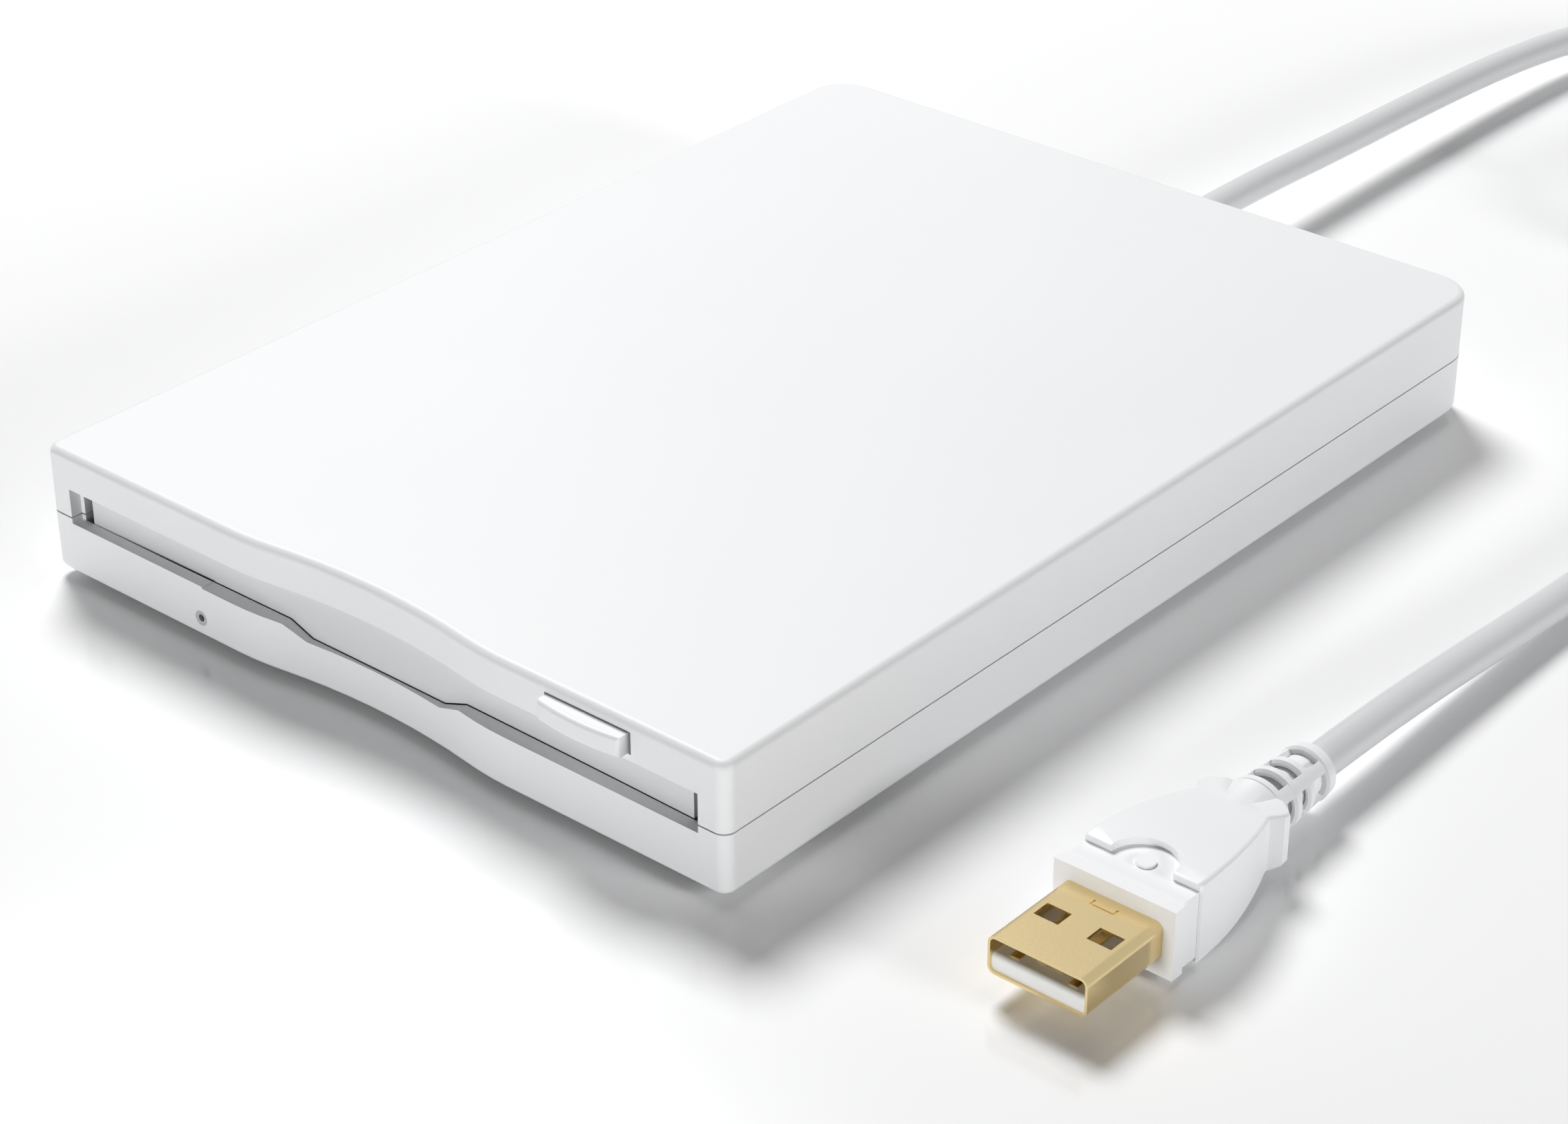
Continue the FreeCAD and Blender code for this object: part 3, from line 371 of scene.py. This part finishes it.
@dataclass
class PlugHood:
    """The plug's moulded hood: a waisted body with soft edges that flares before the strain relief.

    Each station holds its distance from the hood's front, half its width and half its height.
    """

    middle_x: float = 0.0865
    middle_z: float = 0.00485
    front_y: float = 0.0229
    scoop_radius: float = 0.00375
    scoop_depth: float = 0.008
    scoop_rise: float = 0.00405
    block_room: tuple[float, float, float] = (0.0120, 0.009, 0.0070)
    block_setback: float = 0.0012
    edge: float = 0.00045
    edge_share: float = 0.6
    cone_tip: float = 0.0032
    cone_root: float = 0.00385
    cone_length: float = 0.0085
    corner_steps: int = 6
    segments: int = 64
    crease: float = 24.0
    stations: tuple[tuple[float, float, float], ...] = (
        (0.0, 0.00695, 0.00470), (0.0003, 0.00710, 0.00482), (0.002, 0.00708, 0.00480),
        (0.004, 0.00698, 0.00473), (0.006, 0.00679, 0.00463), (0.008, 0.00650, 0.00451),
        (0.010, 0.00612, 0.00428), (0.012, 0.00565, 0.00402), (0.014, 0.00508, 0.00374),
        (0.0156, 0.00455, 0.00350), (0.0160, 0.00452, 0.00344), (0.0174, 0.00535, 0.00322),
        (0.0184, 0.00535, 0.00306), (0.0199, 0.00370, 0.00285))

    @property
    def length(self) -> float:
        """The hood's length, up to its last station."""
        return self.stations[-1][0]

    def _loop(self, half_width: float, half_height: float) -> list[tuple[float, float]]:
        """Go round a rounded rectangle, from the right.

        Args:
            half_width: Half the width.
            half_height: Half the height.

        Returns:
            The points across the hood.
        """
        points = []
        round_x = min(self.edge, half_width * self.edge_share)
        round_z = min(self.edge, half_height * self.edge_share)
        for quarter in range(4):
            sign_x = 1 if quarter in (0, 3) else -1
            sign_z = 1 if quarter in (0, 1) else -1
            for step in range(self.corner_steps + 1):
                angle = math.pi / 2 * (quarter + step / self.corner_steps)
                points.append((sign_x * (half_width - round_x) + round_x * math.cos(angle),
                               sign_z * (half_height - round_z) + round_z * math.sin(angle)))
        return points

    def _loft(self) -> bmesh.types.BMesh:
        """Loft the hood through its stations.

        Returns:
            The closed body, before anything is cut from it.
        """
        bm = bmesh.new()
        loops = []
        for along, half_width, half_height in self.stations:
            y = self.front_y + along + FRONT_Y
            loops.append([bm.verts.new((self.middle_x + x, y, self.middle_z + z))
                          for x, z in self._loop(half_width, half_height)])
        join_rings(bm, loops)
        return bm

    def _tools(self, shelf: FinishShelf) -> list[tuple[bpy.types.Object, str]]:
        """Make the rear cone, which joins the hood, and the scoop and block, which are cut from it.

        Args:
            shelf: Where finishes come from.

        Returns:
            Each tool with its Boolean operation, in order.
        """
        material = shelf.get(PLUG_WHITE)
        front = self.front_y + FRONT_Y
        scoop = bmesh.new()
        bmesh.ops.create_cone(
            scoop, cap_ends=True, segments=self.segments, radius1=self.scoop_radius,
            radius2=self.scoop_radius, depth=self.scoop_depth,
            matrix=Matrix.Translation((self.middle_x, front, self.middle_z + self.scoop_rise)))
        scoop_cutter = piece_from("scoop_cutter", scoop, material)
        block = bmesh.new()
        place = Matrix.Translation((self.middle_x, front + self.block_setback, self.middle_z))
        bmesh.ops.create_cube(block, size=1.0,
                              matrix=place @ Matrix.Diagonal((*self.block_room, 1.0)))
        block_cutter = piece_from("block_cutter", block, material)
        cone = bmesh.new()
        place = Matrix.Translation(
            (self.middle_x, front + self.length - self.cone_length / 2, self.middle_z))
        bmesh.ops.create_cone(
            cone, cap_ends=True, segments=self.segments, radius1=self.cone_tip,
            radius2=self.cone_root, depth=self.cone_length,
            matrix=place @ Matrix.Rotation(-math.pi / 2, 4, "X"))
        cone_root = piece_from("cone_root", cone, material)
        return [(cone_root, "UNION"), (scoop_cutter, "DIFFERENCE"), (block_cutter, "DIFFERENCE")]

    def build(self, shelf: FinishShelf) -> bpy.types.Object:
        """Loft the hood, join its rear cone and cut the thumb scoop and the block's room.

        Args:
            shelf: Where finishes come from.

        Returns:
            The hood.
        """
        hood = piece_from("plug_hood_moulded", self._loft(), shelf.get(PLUG_WHITE))
        tools = self._tools(shelf)
        for tool, operation in tools:
            cut = hood.modifiers.new("cut", "BOOLEAN")
            cut.object = tool
            cut.operation = operation
            cut.solver = "EXACT"
        settle(hood)
        for tool, _ in tools:
            bpy.data.objects.remove(tool)
        hood.data.set_sharp_from_angle(angle=math.radians(self.crease))
        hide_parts("plug_hood")
        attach(hood, "case")
        return hood


@dataclass
class Relief:
    """A cord relief: a sleeve with webs and an end collar, and ribs laid on it by geometry nodes.

    Places are from the case's front face. What lies inward, ahead of the root, is held as a length
    and a radius for each step. Webs are placed by their angle, in degrees.
    """

    name: str
    node: str
    middle_x: float
    middle_z: float
    start_y: float
    length: float
    root: float
    tip: float
    ribs: int
    rib_width: float = 0.00135
    rib_depth: float = 0.0009
    rib_start_share: float = 0.45
    rib_end_share: float = 0.5
    last_rib_extra: float = 0.04
    collar: float = 0.0019
    collar_flare: float = 0.00015
    sleeve: float = 0.00245
    rim: float = 0.0003
    rim_share: float = 0.3
    lap: float = 0.0001
    web_half_turn: float = 13.0
    web_foot_share: float = 0.8
    web_edge_drop: float = 0.0001
    web_middle_drop: float = 0.00002
    segments: int = 56
    crease: float = 38.0
    slot: str = "plug_plastic"
    inward: tuple[tuple[float, float], ...] = ()
    web_turns: tuple[float, ...] = (42.0, 138.0, 222.0, 318.0)

    def _vert(self, bm: bmesh.types.BMesh, along: float, radius: float,
              angle: float) -> bmesh.types.BMVert:
        """Add one point round the relief's axis.

        Args:
            bm: The mesh to add to.
            along: The distance from the relief's root.
            radius: The distance from its axis.
            angle: The turn round its axis, in radians.

        Returns:
            The point.
        """
        return bm.verts.new((self.middle_x + radius * math.cos(angle),
                             self.start_y + along + FRONT_Y,
                             self.middle_z + radius * math.sin(angle)))

    def _disc(self, bm: bmesh.types.BMesh, start: float, end: float, near: float,
              far: float) -> None:
        """Add a closed round piece with softened rims along Y.

        Args:
            bm: The mesh to add to.
            start: Where it starts, from the relief's root.
            end: Where it ends.
            near: Radius at the start.
            far: Radius at the end.
        """
        soft = min(self.rim, (end - start) * self.rim_share)
        rings = []
        for along, radius in ((start, near - soft), (start + soft, near), (end - soft, far),
                              (end, far - soft)):
            ring = []
            for step in range(self.segments):
                angle = math.tau * step / self.segments
                ring.append(self._vert(bm, along, radius, angle))
            rings.append(ring)
        join_rings(bm, rings)

    def _web(self, bm: bmesh.types.BMesh, degrees: float) -> None:
        """Add one web that runs along the sleeve between the ribs.

        Args:
            bm: The mesh to add to.
            degrees: Where the web stands, round the relief's axis.
        """
        spread = math.radians(self.web_half_turn)
        middle = math.radians(degrees)
        foot = self.sleeve * self.web_foot_share
        ends = []
        for along, reach in ((0.0, self.root), (self.length - self.collar / 2, self.tip)):
            edge, crown = reach - self.web_edge_drop, reach - self.web_middle_drop
            ends.append([self._vert(bm, along, radius, middle + turn)
                         for radius, turn in ((foot, -spread), (edge, -spread), (crown, 0.0),
                                              (edge, spread), (foot, spread))])
        join_rings(bm, ends)

    def _tree(self, material: bpy.types.Material) -> bpy.types.NodeTree:
        """Build the node tree that lays the ribs.

        Args:
            material: The relief's material.

        Returns:
            The tree, with its sizes as named inputs.
        """
        tree = bpy.data.node_groups.new("relief_ribs", "GeometryNodeTree")
        tree.interface.new_socket("Geometry", in_out="INPUT", socket_type="NodeSocketGeometry")
        for label, kind in (("Count", "NodeSocketInt"), ("Start", "NodeSocketVector"),
                            ("Step", "NodeSocketVector"), ("Root Radius", "NodeSocketFloat"),
                            ("End Share", "NodeSocketFloat"),
                            ("Rib Width", "NodeSocketFloat"), ("Rib Depth", "NodeSocketFloat")):
            tree.interface.new_socket(label, in_out="INPUT", socket_type=kind)
        tree.interface.new_socket("Geometry", in_out="OUTPUT", socket_type="NodeSocketGeometry")
        make, link = tree.nodes.new, tree.links.new
        given, out = make("NodeGroupInput"), make("NodeGroupOutput")
        line = make("GeometryNodeMeshLine")
        link(given.outputs["Count"], line.inputs["Count"])
        link(given.outputs["Start"], line.inputs["Start Location"])
        link(given.outputs["Step"], line.inputs["Offset"])
        shrink = make("ShaderNodeMath")
        shrink.operation = "SUBTRACT"
        half = make("ShaderNodeMath")
        half.operation = "MULTIPLY"
        half.inputs[1].default_value = 0.5
        link(given.outputs["Rib Depth"], half.inputs[0])
        link(given.outputs["Root Radius"], shrink.inputs[0])
        link(half.outputs[0], shrink.inputs[1])
        circle = make("GeometryNodeCurvePrimitiveCircle")
        circle.inputs["Resolution"].default_value = self.segments
        link(shrink.outputs[0], circle.inputs["Radius"])
        profile = make("GeometryNodeCurvePrimitiveQuadrilateral")
        link(given.outputs["Rib Depth"], profile.inputs["Width"])
        link(given.outputs["Rib Width"], profile.inputs["Height"])
        fillet = make("GeometryNodeFilletCurve")
        fillet.inputs["Radius"].default_value = self.rim
        link(profile.outputs["Curve"], fillet.inputs["Curve"])
        ring = make("GeometryNodeCurveToMesh")
        link(circle.outputs["Curve"], ring.inputs["Curve"])
        link(fillet.outputs["Curve"], ring.inputs["Profile Curve"])
        index = make("GeometryNodeInputIndex")
        last = make("ShaderNodeMath")
        last.operation = "SUBTRACT"
        last.inputs[1].default_value = 1.0
        link(given.outputs["Count"], last.inputs[0])
        share = make("ShaderNodeMath")
        share.operation = "DIVIDE"
        link(index.outputs[0], share.inputs[0])
        link(last.outputs[0], share.inputs[1])
        scale = make("ShaderNodeMapRange")
        scale.inputs["To Min"].default_value = 1.0
        link(share.outputs[0], scale.inputs["Value"])
        link(given.outputs["End Share"], scale.inputs["To Max"])
        sizes = make("ShaderNodeCombineXYZ")
        sizes.inputs["Z"].default_value = 1.0
        link(scale.outputs["Result"], sizes.inputs["X"])
        link(scale.outputs["Result"], sizes.inputs["Y"])
        lay = make("GeometryNodeInstanceOnPoints")
        lay.inputs["Rotation"].default_value = (math.pi / 2, 0.0, 0.0)
        link(line.outputs["Mesh"], lay.inputs["Points"])
        link(ring.outputs["Mesh"], lay.inputs["Instance"])
        link(sizes.outputs["Vector"], lay.inputs["Scale"])
        both = make("GeometryNodeJoinGeometry")
        link(given.outputs["Geometry"], both.inputs["Geometry"])
        link(lay.outputs["Instances"], both.inputs["Geometry"])
        real = make("GeometryNodeRealizeInstances")
        link(both.outputs["Geometry"], real.inputs["Geometry"])
        paint = make("GeometryNodeSetMaterial")
        paint.inputs["Material"].default_value = material
        link(real.outputs["Geometry"], paint.inputs["Geometry"])
        link(paint.outputs["Geometry"], out.inputs["Geometry"])
        return tree

    def build(self, shelf: FinishShelf) -> bpy.types.Object:
        """Build the relief.

        Args:
            shelf: Where finishes come from.

        Returns:
            The relief, standing for its CAD node.
        """
        material = shelf.get(PLUG_WHITE)
        bm = bmesh.new()
        self._disc(bm, 0.0, self.length - self.collar / 2, self.sleeve, self.sleeve)
        self._disc(bm, self.length - self.collar, self.length,
                   self.tip + self.collar_flare, self.tip)
        start = 0.0
        for length, radius in self.inward:
            self._disc(bm, start - length, start + self.lap, radius, radius)
            start -= length
        for degrees in self.web_turns:
            self._web(bm, degrees)
        relief = piece_from(self.name, bm, material)
        room = self.length - self.collar - self.rib_width * self.rib_end_share
        first_y = self.start_y + FRONT_Y + self.rib_width * self.rib_start_share
        tree = self._tree(material)
        values = {"Count": self.ribs, "Start": (self.middle_x, first_y, self.middle_z),
                  "Step": (0.0, room / self.ribs, 0.0), "Root Radius": self.root,
                  "End Share": self.tip / self.root + self.last_rib_extra,
                  "Rib Width": self.rib_width, "Rib Depth": self.rib_depth}
        ribs = relief.modifiers.new("ribs", "NODES")
        ribs.node_group = tree
        for socket in tree.interface.items_tree:
            if socket.in_out == "INPUT" and socket.name in values:
                ribs[socket.identifier] = values[socket.name]
        settle(relief)
        relief.data.shade_smooth()
        relief.data.set_sharp_from_angle(angle=math.radians(self.crease))
        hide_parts(self.node)
        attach(relief, "case")
        return relief


@dataclass(frozen=True)
class SoftLamp:
    """A round soft lamp: where it hangs, what it points at, its width in metres and its watts."""

    name: str
    place: tuple[float, float, float]
    target: tuple[float, float, float]
    size: float
    power: float


@dataclass
class Studio:
    """A white table, soft lights and the photograph's camera."""

    camera_place: tuple[float, float, float] = (0.25199, -0.29459, 0.21565)
    camera_look: tuple[float, float, float] = (-0.5622, 0.6562, -0.5034)
    camera_roll: float = math.radians(-0.12)
    lens: float = 83.70
    sensor: float = 36.0
    clip: tuple[float, float] = (0.01, 20.0)
    table_half: float = 1.6
    table_colour: tuple[float, float, float, float] = (0.985, 0.987, 0.99, 1.0)
    table_roughness: float = 0.13
    table_ior: float = 1.9
    world_strength: float = 0.04
    mirror_strength: float = 0.85
    lamps: tuple[SoftLamp, ...] = (
        SoftLamp("rear_left_soft", (-0.68, 0.43, 1.04), (0.02, -0.02, 0.0), 0.5, 17.9),
        SoftLamp("front_low_soft", (0.05, -1.25, 0.11), (0.0, 0.0, 0.01), 0.2, 6.6),
        SoftLamp("right_low_soft", (1.2, 0.1, 0.36), (0.03, 0.0, 0.01), 0.3, 6.6))

    def camera(self) -> None:
        """Place the camera as in the photograph."""
        data = bpy.data.cameras.new("camera")
        data.lens = self.lens
        data.sensor_width = self.sensor
        data.clip_start, data.clip_end = self.clip
        camera = bpy.data.objects.new("camera", data)
        camera.location = self.camera_place
        turn = Vector(self.camera_look).to_track_quat("-Z", "Y")
        roll = Matrix.Rotation(self.camera_roll, 3, "Z").to_quaternion()
        camera.rotation_euler = (turn @ roll).to_euler()
        bpy.context.scene.collection.objects.link(camera)
        bpy.context.scene.camera = camera

    def table(self) -> None:
        """Lay the glossy white table."""
        bm = bmesh.new()
        bmesh.ops.create_grid(bm, x_segments=1, y_segments=1, size=self.table_half)
        material = bpy.data.materials.new("table_white")
        material.use_nodes = True
        tree = material.node_tree
        shader = tree.nodes["Principled BSDF"]
        shader.inputs["Base Color"].default_value = self.table_colour
        shader.inputs["Roughness"].default_value = self.table_roughness
        shader.inputs["IOR"].default_value = self.table_ior
        floor = piece_from("table", bm, material)

    def light(self) -> None:
        """Hang the soft lights and light the world."""
        world = bpy.data.worlds.new("studio")
        world.use_nodes = True
        tree = world.node_tree
        background = tree.nodes["Background"]
        background.inputs["Color"].default_value = WHITE
        background.inputs["Strength"].default_value = self.world_strength
        bright = tree.nodes.new("ShaderNodeBackground")
        bright.inputs["Color"].default_value = WHITE
        bright.inputs["Strength"].default_value = 1.0
        path = tree.nodes.new("ShaderNodeLightPath")
        mix = tree.nodes.new("ShaderNodeMixShader")
        mirror = tree.nodes.new("ShaderNodeBackground")
        mirror.inputs["Strength"].default_value = self.mirror_strength
        glossy = tree.nodes.new("ShaderNodeMixShader")
        tree.links.new(path.outputs["Is Glossy Ray"], glossy.inputs["Fac"])
        tree.links.new(background.outputs["Background"], glossy.inputs[1])
        tree.links.new(mirror.outputs["Background"], glossy.inputs[2])
        tree.links.new(path.outputs["Is Camera Ray"], mix.inputs["Fac"])
        tree.links.new(glossy.outputs["Shader"], mix.inputs[1])
        tree.links.new(bright.outputs["Background"], mix.inputs[2])
        tree.links.new(mix.outputs["Shader"], tree.nodes["World Output"].inputs["Surface"])
        bpy.context.scene.world = world
        for lamp in self.lamps:
            light = bpy.data.lights.new(lamp.name, "AREA")
            light.shape = "DISK"
            light.size = lamp.size
            light.energy = lamp.power
            obj = bpy.data.objects.new(lamp.name, light)
            obj.location = lamp.place
            aim = Vector(lamp.target) - Vector(lamp.place)
            obj.rotation_euler = aim.to_track_quat("-Z", "Y").to_euler()
            bpy.context.scene.collection.objects.link(obj)

    def build(self) -> None:
        """Set the whole studio."""
        self.camera()
        self.table()
        self.light()
        bpy.context.scene.view_settings.view_transform = "Standard"


def main() -> None:
    """Dress the drive, add its cord and plug, and set the studio."""
    logging.basicConfig(level=logging.INFO, format="%(name)s: %(message)s")
    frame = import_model()
    shelf = FinishShelf()
    dress_nodes(frame, shelf)
    cord_maker = Cord()
    hood_maker = PlugHood()
    cord = cord_maker.build(shelf)
    hood = hood_maker.build(shelf)
    exit_x, _, exit_z = cord_maker.from_case[0]
    reliefs = [
        Relief("plug_relief_ribbed", "plug_relief", middle_x=hood_maker.middle_x,
               middle_z=hood_maker.middle_z, start_y=hood_maker.front_y + hood_maker.length,
               length=0.0109, root=0.0038, tip=0.00315, ribs=3),
        Relief("rear_relief_ribbed", "rear_cord_relief", middle_x=exit_x, middle_z=exit_z,
               start_y=CASE_DEPTH, length=0.0095, root=0.0040, tip=0.0029, ribs=3,
               inward=((0.0020, 0.0030), (0.0014, 0.0044)))]
    with_cord = ("plug_block", "plug_shell", "plug_insulator", "plug_contacts", "coil_tie")
    with_pieces = [hood, *(relief.build(shelf) for relief in reliefs),
                   *(frame["nodes"][name] for name in with_cord)]
    LOG.info("the cord, its plug's hood and %d reliefs are made", len(reliefs))
    Studio().build()


if __name__ == "__main__":
    main()
